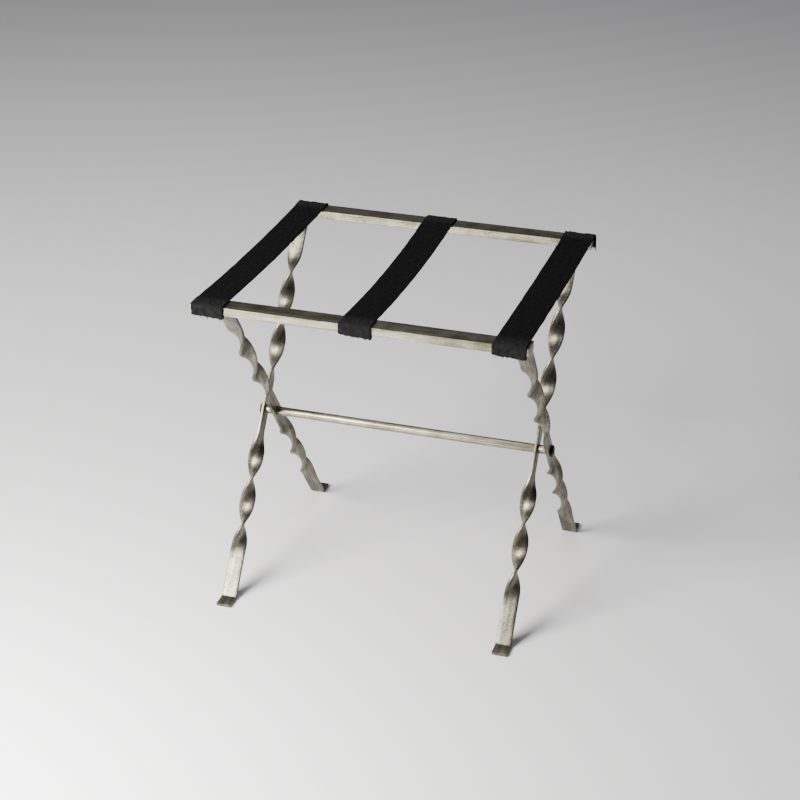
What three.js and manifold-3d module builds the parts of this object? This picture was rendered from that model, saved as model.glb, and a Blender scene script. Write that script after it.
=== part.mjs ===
// Folding luggage rack: two welded steel frames crossed as an X on one pivot rod, with three webbing straps
// over the top rails. Millimetres, +Z up. The origin is on the floor under the middle of the rack, X runs along
// the rails and -Y is the front. The rack is modelled standing open, with the straps taut.

import * as THREE from 'three';
import { mergeVertices } from 'three/addons/utils/BufferGeometryUtils.js';
import Module from 'manifold-3d';

const wasm = await Module();
wasm.setup();

// ---------- driving dimensions ----------
const GAP = 0.3; // clearance between pieces that touch

const RAIL_ENDS = { front: [-255, 255], rear: [-241.2, 254.8] }; // the rear rail is cut shorter
const RAIL_WIDTH = 30; // along Y, wide face up
const RAIL_HEIGHT = 12.5;
const RAIL_TOP = 526; // height of the rails' top face
const RAIL_INNER = 186; // from the middle plane to the rail's inner face
const RAIL_OUTER = RAIL_INNER + RAIL_WIDTH;
const RAIL_BOTTOM = RAIL_TOP - RAIL_HEIGHT;

const BAR_WIDTH = 24.5; // flat bar of the legs
const BAR_THICK = 4.8;
const PIVOT_HEIGHT = 251;
const LEG_ANGLE = THREE.MathUtils.degToRad(36.25); // lean from the vertical
const UPPER_TWIST = [58, 261]; // along the leg, measured up from the pivot
const LOWER_TWIST = [48, 235]; // along the leg, measured down from the pivot
const TWIST_TURN = 450; // degrees in each twisted length, one and a quarter turns
const TWIST_STEPS = 60;
const TOE_BEND_RADIUS = 6.5; // on the middle of the bar
const TOE_BEND_STEPS = 6;
const TOE_TIP = 207; // from the middle plane to the end of the toe

const LEG_X = { frontLeft: -208.5, frontRight: 242.5, rearLeft: -228.5, rearRight: 222.5 };

const ROD_DIAMETER = 10;
const BORE_DIAMETER = 10.8;
const TUBE_DIAMETER = 14;
const ROD_PAST_NUT = 1;
const NUT_FLATS = 16;
const NUT_THICK = 4;

const STRAP_WIDTH = 50;
const STRAP_THICK = 2.2;
const STRAP_AIR = 0.2; // between the strap and the rail under it
const STRAP_TAIL = 12; // length folded under the rail
// Middle of each strap on the two rails. The straps run a little askew.
const STRAP_X = {
  left: { front: -226.4, rear: -216.5 }, middle: { front: -0.2, rear: 3 }, right: { front: 227, rear: 231.2 },
};

const SCREW_SPACING = 28; // between the two screws at each end of a strap
const SCREW_INSET = 7; // from the rail's outer face
const SCREW_SHANK = 3;
const SCREW_DEPTH = 7;
const SCREW_HEAD = 6.4;
const SCREW_HEAD_HEIGHT = 1.8;
const SCREW_SIDES = 10;

// ---------- materials ----------
const antiqueNickel = () => new THREE.MeshStandardMaterial({ color: 0x9a958a, roughness: 0.38, metalness: 1 });
const darkNickel = () => new THREE.MeshStandardMaterial({ color: 0x6f6d68, roughness: 0.45, metalness: 1 });
const blackOxide = () => new THREE.MeshStandardMaterial({ color: 0x1c1b1a, roughness: 0.5, metalness: 0.7 });
const blackWebbing = () => new THREE.MeshStandardMaterial({ color: 0x201e1d, roughness: 0.85, metalness: 0 });

// ---------- helpers ----------
const rack = new THREE.Group();

function add(name, geometry, material, position = [0, 0, 0], turnZ = 0) {
  const mesh = new THREE.Mesh(geometry, material);
  mesh.name = name;
  mesh.position.set(...position);
  mesh.rotation.z = turnZ;
  rack.add(mesh);
}

function toSolid(geometry) {
  const bare = geometry.clone();
  bare.deleteAttribute('normal');
  bare.deleteAttribute('uv');
  const merged = mergeVertices(bare, 1e-4);
  return new wasm.Manifold(new wasm.Mesh({
    numProp: 3,
    vertProperties: new Float32Array(merged.attributes.position.array),
    triVerts: new Uint32Array(merged.index.array),
  }));
}

function toGeometry(solid) {
  const mesh = solid.getMesh();
  const points = [];
  for (let i = 0; i < mesh.vertProperties.length; i += mesh.numProp) {
    points.push(mesh.vertProperties[i], mesh.vertProperties[i + 1], mesh.vertProperties[i + 2]);
  }
  const geometry = new THREE.BufferGeometry();
  geometry.setAttribute('position', new THREE.Float32BufferAttribute(points, 3));
  geometry.setIndex(Array.from(mesh.triVerts));
  geometry.computeVertexNormals();
  return geometry;
}

function cylinderAlongX(diameter, x0, x1, sides = 28) {
  const g = new THREE.CylinderGeometry(diameter / 2, diameter / 2, x1 - x0, sides);
  g.rotateZ(Math.PI / 2);
  g.translate((x0 + x1) / 2, 0, 0);
  return g;
}

function box(x0, x1, y0, y1, z0, z1) {
  const g = new THREE.BoxGeometry(x1 - x0, y1 - y0, z1 - z0);
  g.translate((x0 + x1) / 2, (y0 + y1) / 2, (z0 + z1) / 2);
  return g;
}

// ---------- top rails ----------
// One rectangular bar, drawn for the front of the rack, with blind pilot holes for the strap screws.
function screwXs(end) {
  const xs = [];
  for (const strap of Object.values(STRAP_X)) {
    for (const side of [-1, 1]) xs.push(strap[end] + side * SCREW_SPACING / 2);
  }
  return xs;
}

function railGeometry([x0, x1], screws) {
  let rail = toSolid(box(x0, x1, -RAIL_OUTER, -RAIL_INNER, RAIL_BOTTOM, RAIL_TOP));
  for (const x of screws) {
    const pilot = new THREE.CylinderGeometry(
      SCREW_SHANK / 2 + GAP, SCREW_SHANK / 2 + GAP, 2 * (SCREW_DEPTH + GAP), SCREW_SIDES);
    pilot.rotateX(Math.PI / 2);
    pilot.translate(x, -RAIL_OUTER + SCREW_INSET, RAIL_BOTTOM);
    rail = rail.subtract(toSolid(pilot));
  }
  return toGeometry(rail);
}

// ---------- legs ----------
// One flat bar from the rail down through the pivot to a toe on the floor. It is flat under the rail, twists one
// and a quarter turns, is flat and upright at the pivot, twists again by as much in the same hand, and is flat at
// the foot. Drawn for a leg whose top is at -Y and whose toe points to +Y, around X = 0.
const DOWN = new THREE.Vector3(0, Math.sin(LEG_ANGLE), -Math.cos(LEG_ANGLE));
const ACROSS = new THREE.Vector3(-1, 0, 0); // width direction where the bar lies flat
const BROAD = new THREE.Vector3().crossVectors(DOWN, ACROSS); // width direction at the pivot
const PIVOT = new THREE.Vector3(0, 0, PIVOT_HEIGHT);

function twistAngle(s) { // s is the distance above the pivot along the bar
  const [u0, u1] = UPPER_TWIST;
  const [l0, l1] = LOWER_TWIST;
  let degrees = 90;
  if (s > u0) degrees -= TWIST_TURN * (Math.min(s, u1) - u0) / (u1 - u0);
  if (-s > l0) degrees += TWIST_TURN * (Math.min(-s, l1) - l0) / (l1 - l0);
  return THREE.MathUtils.degToRad(degrees);
}

function section(centre, wide, thin) {
  const w = wide.clone().multiplyScalar(BAR_WIDTH / 2);
  const t = thin.clone().multiplyScalar(BAR_THICK / 2);
  return [
    centre.clone().sub(w).sub(t), centre.clone().add(w).sub(t),
    centre.clone().add(w).add(t), centre.clone().sub(w).add(t),
  ];
}

function straightSection(s) {
  const a = twistAngle(s);
  const wide = ACROSS.clone().multiplyScalar(Math.cos(a)).addScaledVector(BROAD, Math.sin(a));
  const thin = new THREE.Vector3().crossVectors(DOWN, wide);
  return section(PIVOT.clone().addScaledVector(DOWN, -s), wide, thin);
}

function topSection() { // mitred level, just under the rail
  return straightSection(UPPER_TWIST[1] + 20).map((corner) => {
    const lift = (RAIL_BOTTOM - GAP - corner.z) / Math.cos(LEG_ANGLE);
    return corner.addScaledVector(DOWN, -lift);
  });
}

function legSections() {
  const sections = [topSection()];
  for (let i = 0; i <= TWIST_STEPS; i++) {
    sections.push(straightSection(THREE.MathUtils.lerp(UPPER_TWIST[1], UPPER_TWIST[0], i / TWIST_STEPS)));
  }
  for (let i = 0; i <= TWIST_STEPS; i++) {
    sections.push(straightSection(-THREE.MathUtils.lerp(LOWER_TWIST[0], LOWER_TWIST[1], i / TWIST_STEPS)));
  }
  // The toe: an arc from the leg's direction to level, then straight to the tip.
  const turn = Math.PI / 2 - LEG_ANGLE;
  const cornerZ = BAR_THICK / 2;
  const cornerY = (PIVOT_HEIGHT - cornerZ) * Math.tan(LEG_ANGLE);
  const reach = TOE_BEND_RADIUS * Math.tan(turn / 2);
  const arcCentre = new THREE.Vector3(0, cornerY + reach, cornerZ + TOE_BEND_RADIUS);
  const wide = ACROSS.clone().multiplyScalar(-1);
  for (let i = 0; i <= TOE_BEND_STEPS; i++) {
    const tilt = turn * (1 - i / TOE_BEND_STEPS); // slope of the bar below level
    const along = new THREE.Vector3(0, Math.cos(tilt), -Math.sin(tilt));
    const thin = new THREE.Vector3().crossVectors(along, wide);
    const centre = arcCentre.clone().add(
      new THREE.Vector3(0, -Math.sin(tilt), -Math.cos(tilt)).multiplyScalar(TOE_BEND_RADIUS));
    sections.push(section(centre, wide, thin));
  }
  const level = new THREE.Vector3(0, 1, 0);
  sections.push(section(
    new THREE.Vector3(0, TOE_TIP, cornerZ), wide, new THREE.Vector3().crossVectors(level, wide)));
  return sections;
}

function legGeometry() {
  const sections = legSections();
  const points = sections.flat().flatMap((p) => [p.x, p.y, p.z]);
  const faces = [];
  for (let i = 0; i + 1 < sections.length; i++) {
    for (let k = 0; k < 4; k++) {
      const a = 4 * i + k, b = 4 * i + (k + 1) % 4;
      faces.push(a, b, a + 4, b, b + 4, a + 4);
    }
  }
  const last = 4 * (sections.length - 1);
  faces.push(0, 2, 1, 0, 3, 2, last, last + 1, last + 2, last, last + 2, last + 3);
  const g = new THREE.BufferGeometry();
  g.setAttribute('position', new THREE.Float32BufferAttribute(points, 3));
  g.setIndex(faces);
  const bore = cylinderAlongX(BORE_DIAMETER, -20, 20);
  bore.translate(0, 0, PIVOT_HEIGHT);
  return toGeometry(toSolid(g).subtract(toSolid(bore)));
}

// ---------- pivot ----------
function tubeAlongX(outer, inner, x0, x1, sides = 28) {
  const solid = toSolid(cylinderAlongX(outer, x0, x1, sides));
  return toGeometry(solid.subtract(toSolid(cylinderAlongX(inner, x0 - 1, x1 + 1, sides))));
}

function nutGeometry(x0, x1) {
  const g = cylinderAlongX(NUT_FLATS / Math.cos(Math.PI / 6), x0, x1, 6);
  return toGeometry(toSolid(g).subtract(toSolid(cylinderAlongX(ROD_DIAMETER + 2 * GAP, x0 - 1, x1 + 1, 24))));
}

// ---------- straps ----------
// Each strap is one length of webbing. Where it lies on a rail it is a wrap that belongs to that frame: over the
// top, down the outer face and folded under. Between the rails it is two halves, one from each rail.
const STRAP_Z0 = RAIL_TOP + STRAP_AIR;
const STRAP_Z1 = STRAP_Z0 + STRAP_THICK;

function wrapGeometry() {
  const out = RAIL_OUTER + STRAP_AIR;
  const low = RAIL_BOTTOM - STRAP_AIR;
  const outline = new THREE.Shape([
    [-RAIL_INNER, STRAP_Z1], [-out - STRAP_THICK, STRAP_Z1], [-out - STRAP_THICK, low - STRAP_THICK],
    [-out + STRAP_TAIL, low - STRAP_THICK], [-out + STRAP_TAIL, low], [-out, low], [-out, STRAP_Z0],
    [-RAIL_INNER, STRAP_Z0],
  ].map(([y, z]) => new THREE.Vector2(y, z)));
  const g = new THREE.ExtrudeGeometry(outline, { depth: STRAP_WIDTH, bevelEnabled: false });
  // The shape is drawn in Y and Z, so its own x, y and z become Y, Z and X.
  g.applyMatrix4(new THREE.Matrix4().set(0, 0, 1, -STRAP_WIDTH / 2, 1, 0, 0, 0, 0, 1, 0, 0, 0, 0, 0, 1));
  let wrap = toSolid(g);
  for (const side of [-1, 1]) {
    const hole = new THREE.CylinderGeometry(SCREW_SHANK / 2 + GAP, SCREW_SHANK / 2 + GAP, 6, SCREW_SIDES);
    hole.rotateX(Math.PI / 2);
    hole.translate(side * SCREW_SPACING / 2, -RAIL_OUTER + SCREW_INSET, low - STRAP_THICK / 2);
    wrap = wrap.subtract(toSolid(hole));
  }
  return toGeometry(wrap);
}

// From its middle at xRail on the front rail to its middle at xMiddle halfway to the rear one.
function halfGeometry(xRail, xMiddle) {
  const g = box(-STRAP_WIDTH / 2, STRAP_WIDTH / 2, -RAIL_INNER + GAP, -GAP / 2, STRAP_Z0, STRAP_Z1);
  const skew = (xMiddle - xRail) / RAIL_INNER;
  return g.applyMatrix4(new THREE.Matrix4().set(1, skew, 0, xMiddle, 0, 1, 0, 0, 0, 0, 1, 0, 0, 0, 0, 1));
}

// Pan-head screw, head down, with its axis on Z and the underside of the strap at z = 0.
function screwGeometry() {
  const head = SCREW_HEAD / 2, shank = SCREW_SHANK / 2;
  const profile = [
    [0, -GAP - SCREW_HEAD_HEIGHT], [head * 0.7, -GAP - SCREW_HEAD_HEIGHT], [head, -GAP - SCREW_HEAD_HEIGHT * 0.45],
    [head, -GAP], [shank, -GAP], [shank, STRAP_THICK + STRAP_AIR + SCREW_DEPTH - 1.5],
    [0, STRAP_THICK + STRAP_AIR + SCREW_DEPTH],
  ].map(([r, z]) => new THREE.Vector2(r, z));
  const g = new THREE.LatheGeometry(profile, SCREW_SIDES);
  g.rotateX(Math.PI / 2);
  return toGeometry(toSolid(g));
}

// ---------- assembly ----------
// The rear frame's parts are the front frame's, turned half a turn about Z, so an X on it changes sign.
const HALF_TURN = Math.PI;
const leg = legGeometry();

// What is at the rear is drawn for the front with its X turned round, then put in place by half a turn about Z.
const rearRailEnds = [-RAIL_ENDS.rear[1], -RAIL_ENDS.rear[0]];
add('front_rail', railGeometry(RAIL_ENDS.front, screwXs('front')), darkNickel());
add('rear_rail', railGeometry(rearRailEnds, screwXs('rear').map((x) => -x)), darkNickel(), [0, 0, 0], HALF_TURN);
add('front_frame_left_leg', leg.clone(), antiqueNickel(), [LEG_X.frontLeft, 0, 0]);
add('front_frame_right_leg', leg.clone(), antiqueNickel(), [LEG_X.frontRight, 0, 0]);
add('rear_frame_left_leg', leg.clone(), antiqueNickel(), [LEG_X.rearLeft, 0, 0], HALF_TURN);
add('rear_frame_right_leg', leg.clone(), antiqueNickel(), [LEG_X.rearRight, 0, 0], HALF_TURN);

const half = BAR_THICK / 2;
const leftNutX = LEG_X.rearLeft - half - GAP;
const rightNutX = LEG_X.frontRight + half + GAP;
const pivotPlace = [0, 0, PIVOT_HEIGHT];
add('pivot_rod',
  cylinderAlongX(ROD_DIAMETER, leftNutX - NUT_THICK - ROD_PAST_NUT, rightNutX + NUT_THICK + ROD_PAST_NUT, 24),
  blackOxide(), pivotPlace);
add('stretcher_tube',
  tubeAlongX(TUBE_DIAMETER, BORE_DIAMETER, LEG_X.frontLeft + half + GAP, LEG_X.rearRight - half - GAP),
  antiqueNickel(), pivotPlace);
add('left_spacer_sleeve',
  tubeAlongX(TUBE_DIAMETER, BORE_DIAMETER, LEG_X.rearLeft + half + GAP, LEG_X.frontLeft - half - GAP),
  antiqueNickel(), pivotPlace);
add('right_spacer_sleeve',
  tubeAlongX(TUBE_DIAMETER, BORE_DIAMETER, LEG_X.rearRight + half + GAP, LEG_X.frontRight - half - GAP),
  antiqueNickel(), pivotPlace);
add('left_pivot_nut', nutGeometry(leftNutX - NUT_THICK, leftNutX), blackOxide(), pivotPlace);
add('right_pivot_nut', nutGeometry(rightNutX, rightNutX + NUT_THICK), blackOxide(), pivotPlace);

const screwZ = RAIL_BOTTOM - STRAP_AIR - STRAP_THICK;
for (const [place, x] of Object.entries(STRAP_X)) {
  const middle = (x.front + x.rear) / 2;
  add(`${place}_strap_front_wrap`, wrapGeometry(), blackWebbing(), [x.front, 0, 0]);
  add(`${place}_strap_rear_wrap`, wrapGeometry(), blackWebbing(), [x.rear, 0, 0], HALF_TURN);
  add(`${place}_strap_front_half`, halfGeometry(x.front, middle), blackWebbing());
  add(`${place}_strap_rear_half`, halfGeometry(-x.rear, -middle), blackWebbing(), [0, 0, 0], HALF_TURN);
  for (const [end, sign, turn] of [['front', -1, 0], ['rear', 1, HALF_TURN]]) {
    for (const [letter, side] of [['a', -1], ['b', 1]]) {
      add(`${place}_strap_${end}_screw_${letter}`, screwGeometry(), blackOxide(),
        [x[end] + side * SCREW_SPACING / 2, sign * (RAIL_OUTER - SCREW_INSET), screwZ], turn);
    }
  }
}

export default rack;
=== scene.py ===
"""Folding luggage rack: twisted flat-bar legs crossed on a pivot rod, two rails, three webbing straps."""
import math
import random

import bmesh
import bpy
import mathutils
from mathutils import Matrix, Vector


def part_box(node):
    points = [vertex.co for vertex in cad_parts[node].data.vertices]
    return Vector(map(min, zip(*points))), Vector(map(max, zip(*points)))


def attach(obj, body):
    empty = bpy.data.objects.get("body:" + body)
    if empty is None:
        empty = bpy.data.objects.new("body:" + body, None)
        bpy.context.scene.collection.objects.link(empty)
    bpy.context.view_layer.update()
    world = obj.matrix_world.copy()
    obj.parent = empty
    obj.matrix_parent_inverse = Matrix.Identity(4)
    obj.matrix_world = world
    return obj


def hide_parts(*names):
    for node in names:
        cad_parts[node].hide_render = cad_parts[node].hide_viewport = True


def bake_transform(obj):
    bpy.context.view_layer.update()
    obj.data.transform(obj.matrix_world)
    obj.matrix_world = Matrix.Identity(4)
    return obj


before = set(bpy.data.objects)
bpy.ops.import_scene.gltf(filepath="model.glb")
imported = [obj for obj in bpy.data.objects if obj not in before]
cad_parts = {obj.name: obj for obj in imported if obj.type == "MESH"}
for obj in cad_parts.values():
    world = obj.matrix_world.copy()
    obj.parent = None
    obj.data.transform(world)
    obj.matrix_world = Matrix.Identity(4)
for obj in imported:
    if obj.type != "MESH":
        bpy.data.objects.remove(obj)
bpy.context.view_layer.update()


# ---------------------------------------------------------------- camera
# A long lens a little to the right of the rack and well above it, level with the horizon.
AZIMUTH = math.radians(17.43)
LOOK_DOWN = math.radians(27.23)
DISTANCE = 3.0055
AIM = mathutils.Vector((-0.0003, 0.0, 0.3017))
SENSOR = 36.0
LENS = 86.07

bpy.ops.object.camera_add()
camera = bpy.context.object
camera.name = "camera"
camera.data.sensor_width = SENSOR
camera.data.lens = LENS
camera.data.clip_end = 50.0
camera.rotation_euler = (math.pi / 2 - LOOK_DOWN, 0.0, AZIMUTH)
camera.location = AIM + DISTANCE * mathutils.Vector((
    math.sin(AZIMUTH) * math.cos(LOOK_DOWN),
    -math.cos(AZIMUTH) * math.cos(LOOK_DOWN),
    math.sin(LOOK_DOWN)))
bpy.context.scene.camera = camera


# ---------------------------------------------------------------- floor and studio light
# A pale seamless paper floor, one big soft light in front to the left, a weak one low over the floor there,
# which the upright faces of the bars mirror, and a weak one overhead.
def linear(hex_colour):
    """sRGB hex to the linear RGBA that the shader sockets take."""
    parts = [int(hex_colour[i:i + 2], 16) / 255 for i in (1, 3, 5)]
    return [p / 12.92 if p <= 0.04045 else ((p + 0.055) / 1.055) ** 2.4 for p in parts] + [1.0]


def node(tree, kind, settings=None, inputs=None):
    """Adds a node, sets its settings and its sockets; a socket given another socket is linked to it."""
    made = tree.nodes.new(kind)
    for name, value in (settings or {}).items():
        setattr(made, name, value)
    for name, value in (inputs or {}).items():
        if isinstance(value, bpy.types.NodeSocket):
            tree.links.new(value, made.inputs[name])
        else:
            made.inputs[name].default_value = value
    return made


def new_material(name):
    """A material with a Principled shader; returns the material, its node tree and the shader."""
    made = bpy.data.materials.new(name)
    made.use_nodes = True
    return made, made.node_tree, made.node_tree.nodes["Principled BSDF"]


FLOOR_SIZE = 14.0
FLOOR_UNDER_TOES = 0.0005
SURROUND_STRENGTH = 0.52

bpy.ops.mesh.primitive_plane_add(size=FLOOR_SIZE, location=(0, 0, -FLOOR_UNDER_TOES))
floor = bpy.context.object
floor.name = "floor"
floor_paper, tree, shader = new_material("matt_studio_paper")
shader.inputs["Base Color"].default_value = linear("#d9d9dc")
shader.inputs["Roughness"].default_value = 0.9
shader.inputs["Specular IOR Level"].default_value = 0.2
floor.data.materials.append(floor_paper)

world = bpy.data.worlds.new("studio")
bpy.context.scene.world = world
world.use_nodes = True
world.node_tree.nodes["Background"].inputs["Color"].default_value = linear("#85858b")
world.node_tree.nodes["Background"].inputs["Strength"].default_value = SURROUND_STRENGTH


def soft_light(name, place, aim, size, power, spread, colour):
    """A round softbox; place, aim and size in metres, power in watts, spread in degrees."""
    bpy.ops.object.light_add(type="AREA", location=place)
    light = bpy.context.object
    light.name = name
    light.data.shape = "DISK"
    light.data.size = size
    light.data.energy = power
    light.data.spread = math.radians(spread)
    light.data.color = linear(colour)[:3]
    towards = mathutils.Vector(aim) - mathutils.Vector(place)
    light.rotation_euler = towards.to_track_quat("-Z", "Y").to_euler()


soft_light("key_softbox", place=(-1.5, -1.85, 1.75), aim=(-0.15, -0.4, 0.1), size=1.6, power=275, spread=180,
           colour="#fffaf2")
soft_light("floor_light", place=(-0.75, -1.45, 1.0), aim=(-0.62, -1.15, 0.0), size=0.9, power=46, spread=80,
           colour="#fffdf8")
soft_light("overhead", place=(-0.2, 0.2, 2.9), aim=(0, 0, 0), size=1.6, power=34, spread=180,
           colour="#f6f8ff")


# ---------------------------------------------------------------- top rails
# Two rectangular steel bars, wide face up, nickel plated and darkened, brushed along their length.
# Each is welded on the mitred tops of its frame's two legs.
def metres(mm):
    """Millimetres to metres."""
    return mm / 1000


def only(obj):
    """Makes one object the active and only selected one."""
    bpy.ops.object.select_all(action="DESELECT")
    obj.select_set(True)
    bpy.context.view_layer.objects.active = obj
    return obj


def settle(obj):
    """Moves an object's place, turn and scale into its mesh."""
    only(obj)
    bpy.ops.object.transform_apply(location=True, rotation=True, scale=True)
    return obj


def pick(obj, test, kind="faces"):
    """In edit mode, selects the faces, edges or vertices that pass the test."""
    bpy.ops.mesh.select_mode(type={"faces": "FACE", "edges": "EDGE", "verts": "VERT"}[kind])
    bpy.ops.mesh.select_all(action="DESELECT")
    shape = bmesh.from_edit_mesh(obj.data)
    for part in getattr(shape, kind):
        if test(part):
            part.select_set(True)
    shape.select_flush_mode()
    bmesh.update_edit_mesh(obj.data)


def copy_of(obj, name):
    """A copy under its own name, with its own mesh."""
    twin = obj.copy()
    twin.data = obj.data.copy()
    twin.name = twin.data.name = name
    bpy.context.collection.objects.link(twin)
    return twin


def remember_bar(obj):
    """Keeps each vertex's place on the straight bar, so that the brushing follows every bend."""
    bar = obj.data.attributes.new("bar", "FLOAT_VECTOR", "POINT")
    values = []
    for vertex in obj.data.vertices:
        values.extend(vertex.co)
    bar.data.foreach_set("vector", values)


RAIL_ENDS = {"front": (metres(-255), metres(255)), "rear": (metres(-241.2), metres(254.8))}
RAIL_WIDTH = metres(30)
RAIL_HEIGHT = metres(12.5)
RAIL_TOP = metres(526)
RAIL_MIDDLE = metres(201)
RAIL_EDGE = metres(0.9)


def rail_bar(low, high, middle):
    """One bar from low to high along X, its long edges as rolled, its sawn ends filed."""
    bpy.ops.object.select_all(action="DESELECT")
    centre = ((low + high) / 2, middle, RAIL_TOP - RAIL_HEIGHT / 2)
    bpy.ops.mesh.primitive_cube_add(size=1, location=centre)
    bar = bpy.context.object
    bar.scale = (high - low, RAIL_WIDTH, RAIL_HEIGHT)
    settle(bar)
    bpy.ops.object.mode_set(mode="EDIT")
    bpy.ops.mesh.select_all(action="SELECT")
    bpy.ops.mesh.bevel(offset=RAIL_EDGE, segments=3, profile=0.6)
    bpy.ops.object.mode_set(mode="OBJECT")
    bpy.ops.object.shade_smooth_by_angle(angle=math.radians(40))
    remember_bar(bar)
    return bar


# Antique nickel: warm grey plate over steel, brushed with an abrasive belt and toned dark, so it has fine
# scratches and streaks along the bar, cloudy patches where the tone was left on, and a fine grain. All are
# noises, with this many bumps in a metre across the bar and along it. Belt scratches are really under 0.1
# mm wide; they are drawn 1.1 mm apart so that they show.
SCRATCHES = (900.0, 14.0)  # 1.1 mm apart, 70 mm long
STREAKS = (160.0, 9.0)  # 6 mm apart, 110 mm long
CLOUDS = 38.0  # 26 mm apart
GRAIN = 620.0  # 1.6 mm apart


def brushed_nickel(name, light_tone, dark_tone, roughness, along, scratch_depth):
    """Nickel in two tones, brushed along axis 0, 1 or 2 of the straight bar."""
    made, tree, shader = new_material(name)
    place = node(tree, "ShaderNodeAttribute", {"attribute_name": "bar"}).outputs["Vector"]
    stretch = [SCRATCHES[0]] * 3
    stretch[along] = SCRATCHES[1]
    lines = node(tree, "ShaderNodeMapping", None, {"Vector": place, "Scale": stretch}).outputs["Vector"]
    scratches = node(tree, "ShaderNodeTexNoise", None,
                     {"Vector": lines, "Scale": 1.0, "Detail": 3.0, "Roughness": 0.6}).outputs["Fac"]
    stretch = [STREAKS[0]] * 3
    stretch[along] = STREAKS[1]
    wide = node(tree, "ShaderNodeMapping", None, {"Vector": place, "Scale": stretch}).outputs["Vector"]
    streaks = node(tree, "ShaderNodeTexNoise", None,
                   {"Vector": wide, "Scale": 1.0, "Detail": 4.0, "Roughness": 0.55}).outputs["Fac"]
    clouds = node(tree, "ShaderNodeTexNoise", None,
                  {"Vector": place, "Scale": CLOUDS, "Detail": 3.0, "Roughness": 0.5}).outputs["Fac"]
    grain = node(tree, "ShaderNodeTexNoise", None,
                 {"Vector": place, "Scale": GRAIN, "Detail": 2.0, "Roughness": 0.6}).outputs["Fac"]
    # Grain, clouds and streaks are blended in shares that add up to one.
    grain_share = node(tree, "ShaderNodeMath", {"operation": "MULTIPLY"}, {0: grain, 1: 0.38}).outputs[0]
    cloud_share = node(tree, "ShaderNodeMath", {"operation": "MULTIPLY_ADD"},
                       {0: clouds, 1: 0.26, 2: grain_share}).outputs[0]
    blend = node(tree, "ShaderNodeMath", {"operation": "MULTIPLY_ADD"},
                 {0: streaks, 1: 0.36, 2: cloud_share}).outputs[0]
    tone = node(tree, "ShaderNodeValToRGB", None, {"Fac": blend})
    tone.color_ramp.elements[0].position = 0.42
    tone.color_ramp.elements[0].color = linear(dark_tone)
    tone.color_ramp.elements[1].position = 0.58
    tone.color_ramp.elements[1].color = linear(light_tone)
    tree.links.new(tone.outputs["Color"], shader.inputs["Base Color"])
    rough = node(tree, "ShaderNodeMapRange", None,
                 {"Value": scratches, "From Min": 0.3, "From Max": 0.7,
                  "To Min": roughness - 0.06, "To Max": roughness + 0.08}).outputs["Result"]
    tree.links.new(rough, shader.inputs["Roughness"])
    relief = node(tree, "ShaderNodeMath", {"operation": "MULTIPLY_ADD"},
                  {0: grain, 1: 1.5, 2: scratches}).outputs[0]
    bump = node(tree, "ShaderNodeBump", None,
                {"Height": relief, "Strength": 0.45, "Distance": scratch_depth}).outputs["Normal"]
    tree.links.new(bump, shader.inputs["Normal"])
    shader.inputs["Metallic"].default_value = 1.0
    return made


rail_nickel = brushed_nickel("antique_nickel_rail", "#9f9a88", "#5c5745", roughness=0.36, along=0,
                             scratch_depth=metres(0.08))
for end, side in (("front", -1), ("rear", 1)):
    rail = rail_bar(*RAIL_ENDS[end], side * RAIL_MIDDLE)
    rail.name = rail.data.name = f"{end}_rail_bar"
    rail.data.materials.append(rail_nickel)
    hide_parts(f"{end}_rail")
    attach(rail, f"{end}_frame")


# ---------------------------------------------------------------- legs
# Four like legs forged from nickel-plated flat bar: flat under the rail, twisted one and a quarter turns,
# flat at the pivot, twisted again in the same hand, flat at the foot and bent out to a toe. The bar keeps
# its rolled edges.
BAR_WIDTH = metres(24.5)
BAR_THICK = metres(4.8)
BAR_EDGE = metres(1.0)
LEG_LEAN = math.radians(36.25)
PIVOT_HEIGHT = metres(251)
UPPER_TWIST = (metres(58), metres(261))
LOWER_TWIST = (metres(-235), metres(-48))
TWIST_TURN = math.radians(450)
TWIST_EASE = metres(9)
BAR_TOP = metres(335)
TOE_BEND = metres(6.5)
TOE_BEND_STEPS = 10
TOE_TIP = metres(207)
TOE_EDGE = metres(0.7)
BORE = metres(10.8)
DRILL_LENGTH = metres(40)
# Middle of each leg along X, its turn about Z and its frame.
LEGS = {
    "front_frame_left_leg": (metres(-208.5), 0, "front_frame"),
    "front_frame_right_leg": (metres(242.5), 0, "front_frame"),
    "rear_frame_left_leg": (metres(-228.5), math.pi, "rear_frame"),
    "rear_frame_right_leg": (metres(222.5), math.pi, "rear_frame"),
}

# The bar's middle would meet the level toe's at the corner; the straight bar ends where the bend starts.
bend_angle = math.pi / 2 - LEG_LEAN
corner = (PIVOT_HEIGHT - BAR_THICK / 2) / math.cos(LEG_LEAN)
bar_bottom = -(corner - TOE_BEND * math.tan(bend_angle / 2))

bpy.ops.object.select_all(action="DESELECT")
bpy.ops.mesh.primitive_cube_add(size=1, location=(0, 0, (BAR_TOP + bar_bottom) / 2))
leg = bpy.context.object
leg.scale = (BAR_THICK, BAR_WIDTH, BAR_TOP - bar_bottom)
settle(leg)
bpy.ops.object.mode_set(mode="EDIT")
pick(leg, lambda e: abs(e.verts[0].co.z - e.verts[1].co.z) > BAR_TOP, "edges")
bpy.ops.mesh.bevel(offset=BAR_EDGE, segments=3, profile=0.5)
# The long edges are cut into 16 and each of those into 20, a ring every 2 mm.
for cuts in (15, 19):
    pick(leg, lambda e: abs(e.verts[0].co.z - e.verts[1].co.z) > BAR_WIDTH / 2, "edges")
    bpy.ops.mesh.subdivide(number_cuts=cuts, quadcorner="INNERVERT")
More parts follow.
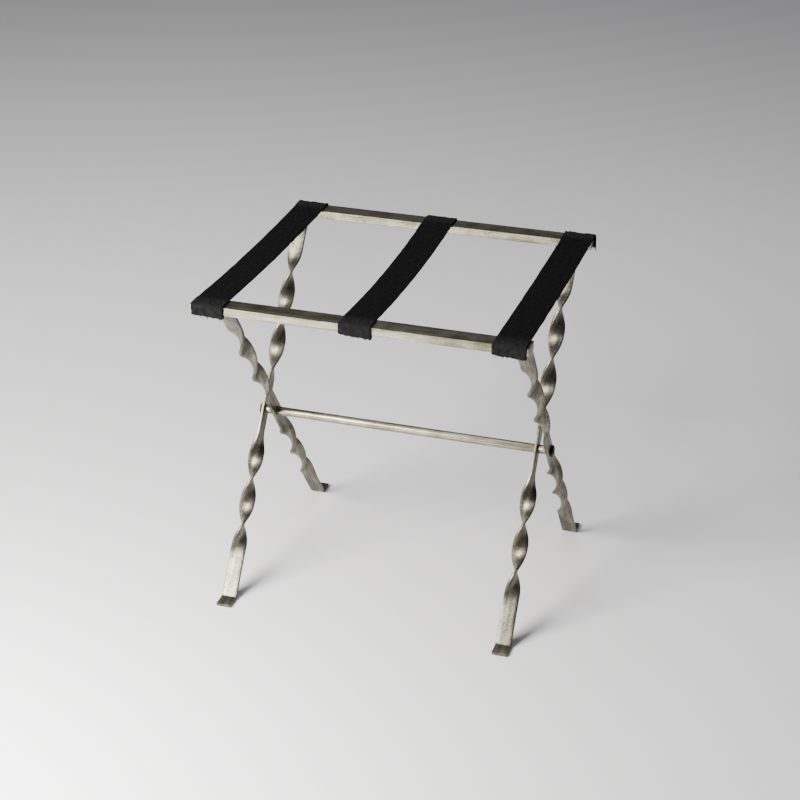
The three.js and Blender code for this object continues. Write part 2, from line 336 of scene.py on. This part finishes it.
# Then the broad faces are cut into six strips, so that they twist without creases.
pick(leg, lambda e: abs(e.verts[0].co.z - e.verts[1].co.z) < 1e-5
     and abs(e.verts[0].co.y - e.verts[1].co.y) > BAR_WIDTH / 2, "edges")
bpy.ops.mesh.subdivide(number_cuts=5)
bpy.ops.object.mode_set(mode="OBJECT")

bpy.ops.mesh.primitive_cylinder_add(vertices=48, radius=BORE / 2, depth=DRILL_LENGTH,
                                    rotation=(0, math.pi / 2, 0))
drill = bpy.context.object
only(leg)
bore = leg.modifiers.new("bore", "BOOLEAN")
bore.object = drill
bore.operation = "DIFFERENCE"
bpy.ops.object.modifier_apply(modifier="bore")
bpy.data.objects.remove(drill)
remember_bar(leg)

# Each twist turns only the bar between its two heights, about the bar's own middle, and the pivot stays as
# it is. It is wound in three shares, each over a little less of the bar, so that it starts and ends gently.
for low, high, upward in ((*UPPER_TWIST, True), (*LOWER_TWIST, False)):
    for ease_in in (-TWIST_EASE, 0, TWIST_EASE):
        start = low + ease_in if upward else high - ease_in
        bpy.context.scene.cursor.location = (0, 0, start)
        only(leg)
        bpy.ops.object.origin_set(type="ORIGIN_CURSOR")
        heights = [v.co.z for v in leg.data.vertices]
        foot, top = min(heights), max(heights)
        twist = leg.modifiers.new("twist", "SIMPLE_DEFORM")
        twist.deform_method = "TWIST"
        twist.deform_axis = "Z"
        twist.angle = TWIST_TURN / 3
        twist.limits = ((low + ease_in - start - foot) / (top - foot),
                        (high - ease_in - start - foot) / (top - foot))
        bpy.ops.object.modifier_apply(modifier="twist")
bpy.context.scene.cursor.location = (0, 0, 0)
bpy.ops.object.origin_set(type="ORIGIN_CURSOR")

# The toe: the end face is swept round the bend, then drawn out level.
bpy.ops.object.mode_set(mode="EDIT")
pick(leg, lambda f: abs(f.calc_center_median().z - bar_bottom) < 1e-5 and abs(f.normal.z) > 0.9)
bpy.ops.mesh.spin(steps=TOE_BEND_STEPS, angle=-bend_angle, center=(0, TOE_BEND, bar_bottom), axis=(1, 0, 0))
bpy.ops.object.mode_set(mode="OBJECT")
bpy.ops.object.mode_set(mode="EDIT")
bpy.ops.mesh.select_mode(type="FACE")
bpy.ops.mesh.extrude_region_move(TRANSFORM_OT_translate={"value": (0, 0, 0)})
bpy.ops.object.mode_set(mode="OBJECT")

# The bar leans on the pivot. Its foot is then drawn out level along the floor, and its top is mitred to
# fit under the rail.
leg.rotation_euler = (LEG_LEAN, 0, 0)
leg.location = (0, 0, PIVOT_HEIGHT)
settle(leg)
tip = max(v.co.y for v in leg.data.vertices if v.co.z < 2 * BAR_THICK)
bpy.ops.object.mode_set(mode="EDIT")
bpy.ops.transform.translate(value=(0, TOE_TIP - tip, 0))
bpy.ops.mesh.select_all(action="SELECT")
bpy.ops.mesh.bisect(plane_co=(0, 0, RAIL_TOP - RAIL_HEIGHT), plane_no=(0, 0, 1), use_fill=True,
                    clear_outer=True)
bpy.ops.mesh.select_all(action="SELECT")
bpy.ops.mesh.remove_doubles(threshold=1e-6)
bpy.ops.mesh.normals_make_consistent(inside=False)
bpy.ops.object.mode_set(mode="OBJECT")

# The cut end of the toe has its sharp edges taken off.
only(leg)
bpy.ops.object.mode_set(mode="EDIT")
pick(leg, lambda e: min(v.co.y for v in e.verts) > TOE_TIP - 1e-5
     and e.verts[0].co.z < 2 * BAR_THICK, "edges")
bpy.ops.mesh.bevel(offset=TOE_EDGE, segments=2)
bpy.ops.object.mode_set(mode="OBJECT")
bpy.ops.object.shade_smooth_by_angle(angle=math.radians(38))

# The toe was swept out of the bar's end face, so its place on the straight bar, which the brushing reads,
# is counted on along the toe.
places = leg.data.attributes["bar"].data
swept = [i for i, place in enumerate(places) if place.vector.z < bar_bottom + 1e-6]
toe_start = min(leg.data.vertices[i].co.y for i in swept)
for i in swept:
    across, thick, along = places[i].vector
    places[i].vector = (across, thick, along - (leg.data.vertices[i].co.y - toe_start))

leg_nickel = brushed_nickel("antique_nickel_bar", "#7f7b6d", "#3d3a32", roughness=0.42, along=2,
                            scratch_depth=metres(0.06))
leg.data.materials.append(leg_nickel)

for name, (x, turn, body) in LEGS.items():
    bar = copy_of(leg, name + "_bar")
    bar.location.x = x
    bar.rotation_euler.z = turn
    settle(bar)
    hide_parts(name)
    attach(bar, body)
bpy.data.objects.remove(leg)


# ---------------------------------------------------------------- stretcher tube and spacer sleeves
# A drawn nickel-plated tube over the pivot rod keeps the two inner legs apart, and a short sleeve of the
# same tube stands between the inner and the outer leg on each side.
TUBE_OUTER = metres(14)
TUBE_WALL = metres(1.75)
TUBE_SPANS = {
    "stretcher_tube": (metres(-205.8), metres(219.8)),
    "left_spacer_sleeve": (metres(-225.8), metres(-211.2)),
    "right_spacer_sleeve": (metres(225.2), metres(239.8)),
}
CUTTER_EXCESS = metres(2)


def rod_along_x(diameter, low, high, sides=64, edge=metres(0.5), name="rod"):
    """A round bar along X, with its end edges chamfered."""
    bpy.ops.object.select_all(action="DESELECT")
    bpy.ops.mesh.primitive_cylinder_add(
        vertices=sides, radius=diameter / 2, depth=high - low,
        location=((low + high) / 2, 0, 0), rotation=(0, math.pi / 2, 0))
    made = bpy.context.object
    made.name = made.data.name = name
    settle(made)
    bpy.ops.object.mode_set(mode="EDIT")
    pick(made, lambda f: len(f.verts) > 4)
    bpy.ops.mesh.region_to_loop()
    bpy.ops.mesh.bevel(offset=edge, segments=3)
    bpy.ops.object.mode_set(mode="OBJECT")
    return made


tube_nickel = brushed_nickel("antique_nickel_tube", "#a9a38f", "#6d6755", roughness=0.37, along=0,
                             scratch_depth=metres(0.04))
for name, (low, high) in TUBE_SPANS.items():
    tube = rod_along_x(TUBE_OUTER, low, high, name=name + "_turned")
    bore = rod_along_x(TUBE_OUTER - 2 * TUBE_WALL, low - CUTTER_EXCESS, high + CUTTER_EXCESS, name="reamer")
    only(tube)
    cut = tube.modifiers.new("bore", "BOOLEAN")
    cut.object = bore
    cut.operation = "DIFFERENCE"
    bpy.ops.object.modifier_apply(modifier="bore")
    bpy.data.objects.remove(bore)
    only(tube)
    bpy.ops.object.shade_smooth_by_angle(angle=math.radians(35))
    remember_bar(tube)
    tube.location.z = PIVOT_HEIGHT
    settle(tube)
    tube.data.materials.append(tube_nickel)
    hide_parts(name)
    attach(tube, "front_frame")


# ---------------------------------------------------------------- pivot rod and its nuts
# One steel rod runs through all four legs, the tube and the sleeves. A thin hexagon nut on each of its
# threaded ends is tightened against the outer leg. Rod ends and nuts are blackened by hot oxide.
ROD_DIAMETER = metres(10)
ROD_ENDS = (metres(-236.2), metres(250.2))
ROD_END_EDGE = metres(0.8)
NUT_FLATS = metres(16)
NUT_THICK = metres(4)
NUT_EDGE = metres(0.55)
NUT_BORE = ROD_DIAMETER + metres(0.3)
NUT_STARTS = {"left_pivot_nut": metres(-235.2), "right_pivot_nut": metres(245.2)}


# Black oxide: a thin conversion coat on steel, near black and slightly oily, mottled with paler rubbed
# spots about 2.4 mm apart.
OXIDE_MOTTLE = 420.0  # in a metre


def blackened_steel(name, roughness):
    """Steel with a black oxide coat."""
    made, tree, shader = new_material(name)
    place = node(tree, "ShaderNodeTexCoord").outputs["Object"]
    mottle = node(tree, "ShaderNodeTexNoise", None,
                  {"Vector": place, "Scale": OXIDE_MOTTLE, "Detail": 4.0, "Roughness": 0.6}).outputs["Fac"]
    tone = node(tree, "ShaderNodeValToRGB", None, {"Fac": mottle})
    tone.color_ramp.elements[0].position = 0.35
    tone.color_ramp.elements[0].color = linear("#161617")
    tone.color_ramp.elements[1].position = 0.70
    tone.color_ramp.elements[1].color = linear("#343436")
    tree.links.new(tone.outputs["Color"], shader.inputs["Base Color"])
    rough = node(tree, "ShaderNodeMapRange", None,
                 {"Value": mottle, "To Min": roughness - 0.1, "To Max": roughness + 0.12}).outputs["Result"]
    tree.links.new(rough, shader.inputs["Roughness"])
    shader.inputs["Metallic"].default_value = 1.0
    return made


oxide = blackened_steel("black_oxide_steel", roughness=0.45)
for name, low in NUT_STARTS.items():
    nut = rod_along_x(NUT_FLATS / math.cos(math.pi / 6), low, low + NUT_THICK, sides=6, edge=NUT_EDGE,
                      name=name + "_forged")
    hole = rod_along_x(NUT_BORE, low - CUTTER_EXCESS, low + NUT_THICK + CUTTER_EXCESS, name="tap")
    only(nut)
    cut = nut.modifiers.new("hole", "BOOLEAN")
    cut.object = hole
    cut.operation = "DIFFERENCE"
    bpy.ops.object.modifier_apply(modifier="hole")
    bpy.data.objects.remove(hole)
    only(nut)
    bpy.ops.object.shade_smooth_by_angle(angle=math.radians(25))
    nut.location.z = PIVOT_HEIGHT
    settle(nut)
    nut.data.materials.append(oxide)
    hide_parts(name)
    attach(nut, "front_frame")

rod = rod_along_x(ROD_DIAMETER, *ROD_ENDS, edge=ROD_END_EDGE, name="pivot_rod_turned")
bpy.ops.object.shade_smooth_by_angle(angle=math.radians(35))
rod.location.z = PIVOT_HEIGHT
settle(rod)
rod.data.materials.append(oxide)
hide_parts("pivot_rod")
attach(rod, "front_frame")


# ---------------------------------------------------------------- straps
# Three lengths of black cotton webbing, each pulled over both rails, folded under them and screwed there.
# Every strap is made as two halves that meet in the middle, one from each rail.
STRAP_WIDTH = metres(50)
STRAP_THICK = metres(2.2)
STRAP_AIR = metres(0.2)
STRAP_TAIL = metres(12)
STATION = metres(0.95)  # mesh rings along the strap
ACROSS = 52  # mesh strips across it
ROUND_EDGE = 3  # mesh steps round each selvedge
RAIL_INNER = RAIL_MIDDLE - RAIL_WIDTH / 2
RAIL_OUTER = RAIL_MIDDLE + RAIL_WIDTH / 2
SCREW_OFFSET = metres(14)
SCREW_INSET = metres(7)
LOWER_TURN = metres(1.6)  # radius of the webbing's middle round the rail's lower edge
UPPER_TURN = metres(2.6)  # and round its upper edge
# Centre at the front rail, centre at the rear rail and sag at the middle.
STRAPS = {
    "left": (metres(-226.4), metres(-216.5), metres(4)),
    "middle": (metres(-0.2), metres(3), metres(8)),
    "right": (metres(227), metres(231.2), metres(2)),
}
# How far the fold hangs below the rail at its left and right edge, with a ragged hem of up to HEM_RAGGED
# more, over HEM_ZONE either side of the fold.
FOLD_DROP = (metres(0.4), metres(3.4))
HEM_RAGGED = metres(1.6)
HEM_ZONE = metres(7)
# The crinkles fade out over this stretch of the strap, counted from the rail's upper outer edge.
WRAP_FADE = (metres(14), metres(34))
# Depth of the crinkles on the fold's outer face, of the long waves in the free span, and of how far the
# selvedges wander, on the whole strap and on the fold.
CRINKLE = metres(1.5)
WAVE = metres(0.35)
WANDER = metres(0.5)
FOLD_WANDER = metres(0.45)


def strap_line(sag):
    """Middle line of a half strap, as points (y, z), from its cut end under the front rail to the middle."""
    half = STRAP_THICK / 2
    low = RAIL_TOP - RAIL_HEIGHT - STRAP_AIR - half
    high = RAIL_TOP + STRAP_AIR + half
    out = -RAIL_OUTER - STRAP_AIR - half
    turns = [(low + LOWER_TURN, LOWER_TURN, -math.pi / 2), (high - UPPER_TURN, UPPER_TURN, math.pi)]
    steps, span_steps = 8, 60
    line = [(-RAIL_OUTER + STRAP_TAIL, low)]
    for level, radius, first in turns:
        for i in range(steps + 1):
            angle = first - i / steps * math.pi / 2
            line.append((out + radius + radius * math.cos(angle), level + radius * math.sin(angle)))
    line.append((-RAIL_INNER, high))
    for i in range(1, span_steps + 1):
        y = -RAIL_INNER * (1 - i / span_steps)
        line.append((y, high - sag * (1 - (y / RAIL_INNER) ** 2)))
    return line


def evenly(line, step):
    """The same line with points about a step apart, with the length along it of each."""
    lengths = [0.0]
    for a, b in zip(line, line[1:]):
        lengths.append(lengths[-1] + math.dist(a, b))
    count = round(lengths[-1] / step)
    found, k = [], 0
    for i in range(count + 1):
        at = lengths[-1] * i / count
        while k < len(line) - 2 and lengths[k + 1] < at:
            k += 1
        share = (at - lengths[k]) / (lengths[k + 1] - lengths[k])
        found.append((line[k][0] + share * (line[k + 1][0] - line[k][0]),
                      line[k][1] + share * (line[k + 1][1] - line[k][1]), at))
    return found


def ease(low, high, value):
    """A smooth step: 0 at low, 1 at high."""
    share = min(1.0, max(0.0, (value - low) / (high - low)))
    return share * share * (3 - 2 * share)


def ripple(x, y, size, seed):
    """Smooth noise from -1 to 1 over a surface, with bumps about size apart."""
    return mathutils.noise.noise(mathutils.Vector((x / size, y / size, seed * 7.31)))


def webbing_section():
    """Outline of the webbing's cross section, as (share of the width, height from -1 to 1)."""
    steps = ROUND_EDGE + 1
    section = [(-0.5 + i / ACROSS, 1.0) for i in range(ACROSS + 1)]
    section += [(0.5, math.cos(math.pi * i / steps)) for i in range(1, steps)]
    section += [(0.5 - i / ACROSS, -1.0) for i in range(ACROSS + 1)]
    section += [(-0.5, -math.cos(math.pi * i / steps)) for i in range(1, steps)]
    return section


def half_strap(name, side, front_x, rear_x, sag, seed):
    """One half of a strap and its length; side is -1 for the front half and 1 for the rear one."""
    points = evenly(strap_line(sag), STATION)
    total = points[-1][2]
    fold_end = STRAP_TAIL + RAIL_HEIGHT + STRAP_THICK
    section = webbing_section()
    places, cloth = [], []
    for k, (y, z, at) in enumerate(points):
        before, after = points[max(k - 1, 0)], points[min(k + 1, len(points) - 1)]
        run = (after[0] - before[0], after[1] - before[1])
        if k == len(points) - 1:
            run = (1.0, 0.0)  # level in the middle of the rack, so that the two halves meet
        length = math.hypot(*run)
        out = (-run[1] / length, run[0] / length)
        along = side * (total - at)
        centre = front_x + (0.5 + 0.5 * side * min(1.0, -y / RAIL_INNER)) * (rear_x - front_x)
        # wrap is 1 on the rail and 0 on the free span; face is 1 only on the rail's outer face and top,
        # where the webbing is also drawn paler as painted light.
        wrap = 1 - ease(fold_end + WRAP_FADE[0], fold_end + WRAP_FADE[1], at)
        face = ease(STRAP_TAIL - metres(5), STRAP_TAIL + metres(2), at) * wrap
        hem = ease(HEM_ZONE, 0.0, abs(at - STRAP_TAIL - metres(1.5)))
        # Each ripple is given the distance between its bumps.
        for across, height in section:
            edge = 0.0
            if abs(across) == 0.5:
                edge = math.copysign(1, across) * max(0.0, 1 - height * height) ** 0.5 * STRAP_THICK / 2
            wander = WANDER * ripple(math.copysign(9, across), along, metres(22), seed)
            wander += FOLD_WANDER * face * ripple(math.copysign(5, across), along, metres(5), seed)
            x = centre + across * (STRAP_WIDTH - STRAP_THICK) + edge + 2 * abs(across) * wander
            crease = 0.5 + 0.5 * ripple(x, along, metres(7), seed)
            crease += 0.6 * ripple(x, along, metres(3.4), seed + 3)
            lift = CRINKLE * face * max(0.0, crease)
            droop = FOLD_DROP[0] + (across + 0.5) * (FOLD_DROP[1] - FOLD_DROP[0])
            droop += HEM_RAGGED * max(-0.3, ripple(x, 0.0, metres(5.5), seed + 5))
            wave = WAVE * (1 - wrap) * ripple(x, along, metres(34), seed + 8)
            level = height * STRAP_THICK / 2 + lift + wave
            places.append((x, -side * (y + out[0] * level), z + out[1] * level - hem * droop))
            # The third value marks the fold's outer face, which the webbing shader draws paler as painted
            # light.
            cloth.append((x - centre, along, face))
    ring = len(section)
    faces = []
    for k in range(len(points) - 1):
        for i in range(ring):
            j = (i + 1) % ring
            faces.append((k * ring + i, k * ring + j, (k + 1) * ring + j, (k + 1) * ring + i))
    faces.append(tuple(range(ring)))
    faces.append(tuple((len(points) - 1) * ring + i for i in range(ring)))
    mesh = bpy.data.meshes.new(name)
    mesh.from_pydata(places, [], faces)
    weave = mesh.attributes.new("cloth", "FLOAT_VECTOR", "POINT")
    weave.data.foreach_set("vector", [value for point in cloth for value in point])
    made = bpy.data.objects.new(name, mesh)
    bpy.context.collection.objects.link(made)
    only(made)
    bpy.ops.object.mode_set(mode="EDIT")
    bpy.ops.mesh.select_all(action="SELECT")
    bpy.ops.mesh.normals_make_consistent(inside=False)
    bpy.ops.object.mode_set(mode="OBJECT")
    bpy.ops.object.shade_smooth_by_angle(angle=math.radians(60))
    return made, total


# Cotton webbing: a flat twill of spun yarn dyed black, matt and a little uneven, with painted light on the
# fold's outer face, which is drawn paler. Yarns are really 0.9 mm apart; they are drawn 2.2 mm apart so that
# they show.
# Fibres and patches are noises.
YARN = metres(2.2)
FIBRES = 1400.0  # in a metre, 0.7 mm apart
PATCHES = 150.0  # 7 mm apart


def cotton_webbing():
    """Black webbing; reads each vertex's place across and along the strap, and how much painted light its
    fold face gets.
    """
    made, tree, shader = new_material("black_cotton_webbing")
    place = node(tree, "ShaderNodeAttribute", {"attribute_name": "cloth"}).outputs["Vector"]
    parts = node(tree, "ShaderNodeSeparateXYZ", None, {"Vector": place})
    across, along, painted_fold_light = parts.outputs["X"], parts.outputs["Y"], parts.outputs["Z"]
    # The warp runs along the strap, and each weft pass crosses it half a yarn further on: a twill.
    angle = 2 * math.pi / YARN
    slant = node(tree, "ShaderNodeMath", {"operation": "MULTIPLY_ADD"},
                 {0: across, 1: 0.5, 2: along}).outputs[0]
    turns = node(tree, "ShaderNodeMath", {"operation": "MULTIPLY"}, {0: across, 1: angle}).outputs[0]
    warp = node(tree, "ShaderNodeMath", {"operation": "SINE"}, {0: turns}).outputs[0]
    turns = node(tree, "ShaderNodeMath", {"operation": "MULTIPLY"}, {0: slant, 1: angle}).outputs[0]
    weft = node(tree, "ShaderNodeMath", {"operation": "SINE"}, {0: turns}).outputs[0]
    cells = node(tree, "ShaderNodeMath", {"operation": "MULTIPLY"}, {0: warp, 1: weft}).outputs[0]
    fibre = node(tree, "ShaderNodeTexNoise", None,
                 {"Vector": place, "Scale": FIBRES, "Detail": 3.0, "Roughness": 0.7}).outputs["Fac"]
    patch = node(tree, "ShaderNodeTexNoise", None,
                 {"Vector": place, "Scale": PATCHES, "Detail": 3.0, "Roughness": 0.6}).outputs["Fac"]
    relief = node(tree, "ShaderNodeMath", {"operation": "MULTIPLY_ADD"},
                  {0: cells, 1: 0.35, 2: fibre}).outputs[0]
    bump = node(tree, "ShaderNodeBump", None,
                {"Height": relief, "Strength": 1.0, "Distance": metres(0.5)}).outputs["Normal"]
    tree.links.new(bump, shader.inputs["Normal"])
    # Fibres and patches set the tone; the cells of the weave lift it a little, and painted light on the
    # fold's outer face lifts it too.
    fibre_share = node(tree, "ShaderNodeMath", {"operation": "MULTIPLY"}, {0: fibre, 1: 0.5}).outputs[0]
    cloudy = node(tree, "ShaderNodeMath", {"operation": "MULTIPLY_ADD"},
                  {0: patch, 1: 0.4, 2: fibre_share}).outputs[0]
    woven = node(tree, "ShaderNodeMath", {"operation": "MULTIPLY_ADD"},
                 {0: cells, 1: 0.15, 2: cloudy}).outputs[0]
    # Painted light: the fold's outer face is drawn paler by this share.
    weave_and_fold_light = node(tree, "ShaderNodeMath", {"operation": "MULTIPLY_ADD"},
               {0: painted_fold_light, 1: 0.13, 2: woven}).outputs[0]
    tone = node(tree, "ShaderNodeValToRGB", None, {"Fac": weave_and_fold_light})
    tone.color_ramp.elements[0].position = 0.37
    tone.color_ramp.elements[0].color = linear("#040404")
    tone.color_ramp.elements[1].position = 0.95
    tone.color_ramp.elements[1].color = linear("#2e2e30")
    tree.links.new(tone.outputs["Color"], shader.inputs["Base Color"])
    shader.inputs["Roughness"].default_value = 0.88
    shader.inputs["Specular IOR Level"].default_value = 0.02
    return made


# Worn yarns hang out of the folded ends: spun cotton about 0.6 mm thick, drawn 0.9 mm thick so that it
# shows. Most are short; at the right rear corner a bunch of long ones hangs off the strap's edge over the
# end of the rail.
THREAD_SIZE = metres(0.9)
THREAD_CUTS = 8
THREAD_PHASE = (0, 6)  # radians, nearly a full turn
FOLD_THREADS = 7  # on each folded end
FOLD_THREAD_LONG = (metres(2.5), metres(6))
CORNER_THREADS = 16  # in the bunch
CORNER_THREAD_LONG = metres(27)
CORNER_RUN = metres(16)  # the bunch starts at the rail's outer face and runs this far in


def hanging_thread(place, long, curl, phase):
    """One worn yarn that hangs from a place, thinner and more curled towards its end."""
    bpy.ops.object.select_all(action="DESELECT")
    bpy.ops.mesh.primitive_cylinder_add(vertices=6, radius=THREAD_SIZE / 2, depth=long,
                                        location=(0, 0, -long / 2))
    yarn = settle(bpy.context.object)
    bpy.ops.object.mode_set(mode="EDIT")
    pick(yarn, lambda e: abs(e.verts[0].co.z - e.verts[1].co.z) > long / 2, "edges")
    bpy.ops.mesh.subdivide(number_cuts=THREAD_CUTS)
    bpy.ops.object.mode_set(mode="OBJECT")
    for vertex in yarn.data.vertices:
        share = -vertex.co.z / long
        thin = 1 - 0.45 * share
        vertex.co.x = vertex.co.x * thin + curl * share * math.sin(phase + 4 * share)
        vertex.co.y = vertex.co.y * thin + curl * share * math.cos(phase + 5 * share)
    yarn.location = place
    return settle(yarn)


def frayed_threads(name, side, centre, seed, long_corner):
    """The worn yarns of one folded end, as one piece."""
    draw = random.Random(seed)
    under = RAIL_TOP - RAIL_HEIGHT - STRAP_AIR - STRAP_THICK / 2
    yarns = []
    for _ in range(FOLD_THREADS):
        across = draw.uniform(-0.47, 0.47)
        drop = FOLD_DROP[0] + (across + 0.5) * (FOLD_DROP[1] - FOLD_DROP[0])
        y = side * (RAIL_OUTER + draw.uniform(metres(-1.5), metres(1)))
        long = draw.uniform(*FOLD_THREAD_LONG)
        place = (centre + across * STRAP_WIDTH, y, under - drop)
        yarns.append(hanging_thread(place, long, metres(1.2), draw.uniform(*THREAD_PHASE)))
    for i in range(CORNER_THREADS if long_corner else 0):
        share = (i + draw.uniform(0, 1)) / CORNER_THREADS
        x = centre + STRAP_WIDTH / 2 + draw.uniform(metres(-0.6), metres(0.4))
        long = CORNER_THREAD_LONG * (1 - 0.5 * share) * draw.uniform(0.75, 1)
        place = (x, side * (RAIL_OUTER - share * CORNER_RUN), RAIL_TOP + STRAP_AIR)
        yarns.append(hanging_thread(place, long, metres(1.4), draw.uniform(*THREAD_PHASE)))
    only(yarns[0])
    for yarn in yarns:
        yarn.select_set(True)
    bpy.ops.object.join()
    made = bpy.context.object
    made.name = made.data.name = name
    bpy.ops.object.shade_smooth_by_angle(angle=math.radians(60))
    weave = made.data.attributes.new("cloth", "FLOAT_VECTOR", "POINT")
    flat = [value for vertex in made.data.vertices for value in (*vertex.co[:2], 0.0)]
    weave.data.foreach_set("vector", flat)
    return made


webbing = cotton_webbing()
for number, (strap, (front_x, rear_x, sag)) in enumerate(STRAPS.items()):
    for end, side in (("front", -1), ("rear", 1)):
        piece, long = half_strap(f"{strap}_strap_{end}_webbing", side, front_x, rear_x, sag,
                                 seed=number * 2 + 1)
        piece.data.materials.append(webbing)
        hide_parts(f"{strap}_strap_{end}_wrap", f"{strap}_strap_{end}_half")
        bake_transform(piece)
        threads = frayed_threads(f"{strap}_strap_{end}_frayed_threads", side,
                                 front_x if side < 0 else rear_x, seed=number * 2 + (side > 0),
                                 long_corner=(strap, end) == ("right", "rear"))
        threads.data.materials.append(webbing)
        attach(threads, f"{end}_frame")


# ---------------------------------------------------------------- strap screws
# Two pan-head steel screws with a cross recess and a black oxide coat hold each folded end. They are driven
# up through the webbing into the underside of the rail.
SCREW_HEAD = metres(6.4)
SCREW_HEAD_HEIGHT = metres(1.8)
SCREW_HEAD_ROUND = metres(1)
SCREW_SHANK = metres(3)
SCREW_POINT = metres(0.5)
SCREW_LENGTH = metres(7)
RECESS = (metres(3.4), metres(0.8), metres(1.6))  # long, wide and twice as deep as it is cut

bpy.ops.object.select_all(action="DESELECT")
bpy.ops.mesh.primitive_cylinder_add(vertices=32, radius=SCREW_HEAD / 2, depth=SCREW_HEAD_HEIGHT,
                                    location=(0, 0, -SCREW_HEAD_HEIGHT / 2))
screw = bpy.context.object
settle(screw)
bpy.ops.object.mode_set(mode="EDIT")
pick(screw, lambda f: f.normal.z < -0.9)
bpy.ops.mesh.region_to_loop()
bpy.ops.mesh.bevel(offset=SCREW_HEAD_ROUND, segments=5, profile=0.5)
pick(screw, lambda f: f.normal.z > 0.9 and len(f.verts) > 4)
bpy.ops.mesh.inset(thickness=(SCREW_HEAD - SCREW_SHANK) / 2)
bpy.ops.mesh.extrude_region_move(TRANSFORM_OT_translate={"value": (0, 0, SCREW_LENGTH)})
bpy.ops.mesh.bevel(offset=SCREW_POINT, segments=2)
bpy.ops.object.mode_set(mode="OBJECT")
for turn in (0, math.pi / 2):
    bpy.ops.mesh.primitive_cube_add(size=1, location=(0, 0, -SCREW_HEAD_HEIGHT), rotation=(0, 0, turn))
    blade = bpy.context.object
    blade.scale = RECESS
    only(screw)
    recess = screw.modifiers.new("recess", "BOOLEAN")
    recess.object = blade
    recess.operation = "DIFFERENCE"
    bpy.ops.object.modifier_apply(modifier="recess")
    bpy.data.objects.remove(blade)
only(screw)
bpy.ops.object.shade_smooth_by_angle(angle=math.radians(35))
screw.data.materials.append(oxide)

strap_underside = RAIL_TOP - RAIL_HEIGHT - STRAP_AIR - STRAP_THICK
for strap, (front_x, _, _) in STRAPS.items():
    for end, side in (("front", -1), ("rear", 1)):
        for letter, offset in (("a", -SCREW_OFFSET), ("b", SCREW_OFFSET)):
            name = f"{strap}_strap_{end}_screw_{letter}"
            driven = copy_of(screw, name + "_head")
            low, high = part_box(name)
            driven.location = ((low[0] + high[0]) / 2, side * (RAIL_OUTER - SCREW_INSET), strap_underside)
            # Each is driven to a turn of its own.
            driven.rotation_euler.z = 0.7 * (front_x * 1000 + offset) + side
            settle(driven)
            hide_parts(name)
            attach(driven, f"{end}_frame")
bpy.data.objects.remove(screw)
